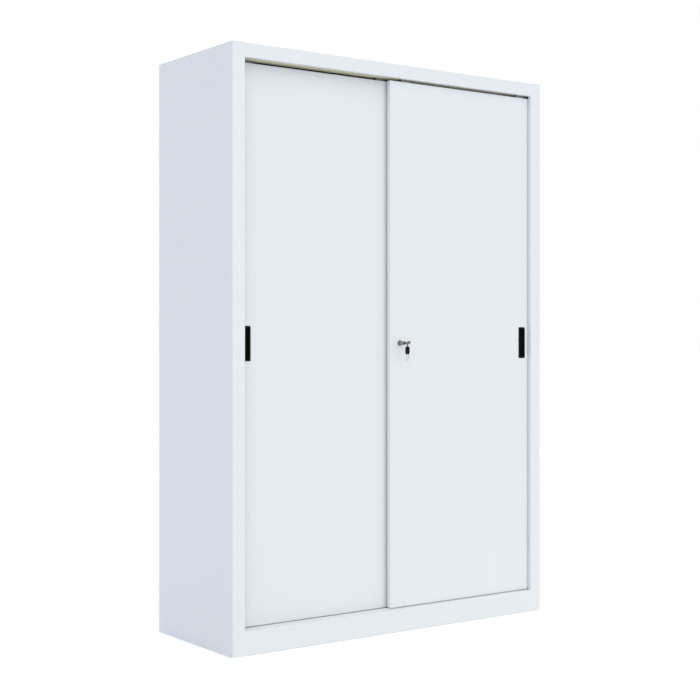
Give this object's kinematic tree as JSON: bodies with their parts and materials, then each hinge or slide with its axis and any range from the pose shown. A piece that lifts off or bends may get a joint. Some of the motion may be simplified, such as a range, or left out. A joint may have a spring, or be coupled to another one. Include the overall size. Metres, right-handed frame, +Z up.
{
  "type": "sliding door cabinet",
  "caption": "Tall free-standing sheet-steel cabinet with sliding doors on grooved rollers, recessed grips, a push lock with key, and shelves on slotted uprights.",
  "frame": {"origin": "on the floor under the middle of the whole object, key included: the casing's front plane is at y -0.215 and its back at y 0.255", "axes": "+X to the right seen from the front, +Y from the doors towards the back, +Z up"},
  "size_m": [1.2, 0.51, 1.8],
  "materials": {
    "white_paint": "white semi-gloss powder coat with a faint orange peel",
    "back_paint": "white powder coat, a little duller than the outside",
    "beige_plastic": "extruded beige plastic, satin",
    "zinc_steel": "bright zinc plating",
    "chrome": "polished chrome",
    "nickel": "nickel plating worn a little at the edges",
    "white_nylon": "moulded natural nylon",
    "grey_nylon": "moulded grey nylon",
    "black_plastic": "moulded black plastic, fine satin grain",
    "grey_rubber": "matt moulded rubber"
  },
  "bodies": {
    "casing": {"left_side_panel": "white_paint", "right_side_panel": "white_paint", "top_panel": "white_paint", "back_panel": "back_paint", "floor_panel": "white_paint", "plinth": "white_paint", "bottom_track": "white_paint", "top_channel": "beige_plastic", "left_front_upright": "zinc_steel", "left_front_clip_1": "zinc_steel", "left_front_clip_2": "zinc_steel", "left_front_clip_3": "zinc_steel", "left_back_upright": "zinc_steel", "left_back_clip_1": "zinc_steel", "left_back_clip_2": "zinc_steel", "left_back_clip_3": "zinc_steel", "right_front_upright": "zinc_steel", "right_front_clip_1": "zinc_steel", "right_front_clip_2": "zinc_steel", "right_front_clip_3": "zinc_steel", "right_back_upright": "zinc_steel", "right_back_clip_1": "zinc_steel", "right_back_clip_2": "zinc_steel", "right_back_clip_3": "zinc_steel", "shelf_1": "white_paint", "shelf_2": "white_paint", "shelf_3": "white_paint", "left_door_closed_buffer": "grey_rubber", "left_door_open_stop": "grey_rubber", "right_door_closed_buffer": "grey_rubber", "right_door_open_stop": "grey_rubber"},
    "left_door": {"left_door_shell": "white_paint", "left_door_stiffener": "white_paint", "left_door_grip": "black_plastic", "left_door_left_axle": "zinc_steel", "left_door_left_fork": "zinc_steel", "left_door_left_top_guide": "grey_nylon", "left_door_right_axle": "zinc_steel", "left_door_right_fork": "zinc_steel", "left_door_right_top_guide": "grey_nylon", "catch_plate": "zinc_steel"},
    "right_door": {"right_door_shell": "white_paint", "right_door_stiffener": "white_paint", "right_door_grip": "black_plastic", "right_door_left_axle": "zinc_steel", "right_door_left_fork": "zinc_steel", "right_door_left_top_guide": "grey_nylon", "right_door_right_axle": "zinc_steel", "right_door_right_fork": "zinc_steel", "right_door_right_top_guide": "grey_nylon", "lock_housing": "chrome", "lock_nut": "zinc_steel"},
    "left_door_left_roller": {"left_door_left_roller": "white_nylon"},
    "left_door_right_roller": {"left_door_right_roller": "white_nylon"},
    "right_door_left_roller": {"right_door_left_roller": "white_nylon"},
    "right_door_right_roller": {"right_door_right_roller": "white_nylon"},
    "lock_barrel": {"lock_barrel": "chrome"},
    "lock_plug": {"lock_plug": "nickel", "key_blade": "nickel"},
    "key_bow": {"key_bow": "black_plastic"}
  },
  "joints": [
    {"name": "left_door_slide", "type": "slide", "parent": "casing", "child": "left_door", "axis": [1, 0, 0], "range_m": [0, 0.485]},
    {"name": "right_door_slide", "type": "slide", "parent": "casing", "child": "right_door", "axis": [1, 0, 0], "range_m": [-0.54, 0]},
    {"name": "left_door_left_roller_spin", "type": "hinge", "parent": "left_door", "child": "left_door_left_roller", "pos_m": [-0.523, -0.166, 0.087], "axis": [0, 1, 0], "continuous": true},
    {"name": "left_door_right_roller_spin", "type": "hinge", "parent": "left_door", "child": "left_door_right_roller", "pos_m": [-0.041, -0.166, 0.087], "axis": [0, 1, 0], "continuous": true},
    {"name": "right_door_left_roller_spin", "type": "hinge", "parent": "right_door", "child": "right_door_left_roller", "pos_m": [0.041, -0.191, 0.087], "axis": [0, 1, 0], "continuous": true},
    {"name": "right_door_right_roller_spin", "type": "hinge", "parent": "right_door", "child": "right_door_right_roller", "pos_m": [0.523, -0.191, 0.087], "axis": [0, 1, 0], "continuous": true},
    {"name": "lock_push", "type": "slide", "parent": "right_door", "child": "lock_barrel", "axis": [0, 1, 0], "range_m": [0, 0.0084], "stiffness_N_per_m": 300},
    {"name": "key_turn", "type": "hinge", "parent": "lock_barrel", "child": "lock_plug", "pos_m": [0.0155, -0.225, 0.917], "axis": [0, 1, 0], "range_deg": [0, 90]},
    {"name": "key_fold", "type": "hinge", "parent": "lock_plug", "child": "key_bow", "pos_m": [0.0155, -0.24, 0.904], "axis": [-1, 0, 0], "range_deg": [0, 90]}
  ],
  "couplings": [
    {"joint": "left_door_left_roller_spin", "follows": "left_door_slide", "rad_per_m": 100},
    {"joint": "left_door_right_roller_spin", "follows": "left_door_slide", "rad_per_m": 100},
    {"joint": "right_door_left_roller_spin", "follows": "right_door_slide", "rad_per_m": 100},
    {"joint": "right_door_right_roller_spin", "follows": "right_door_slide", "rad_per_m": 100}
  ]
}
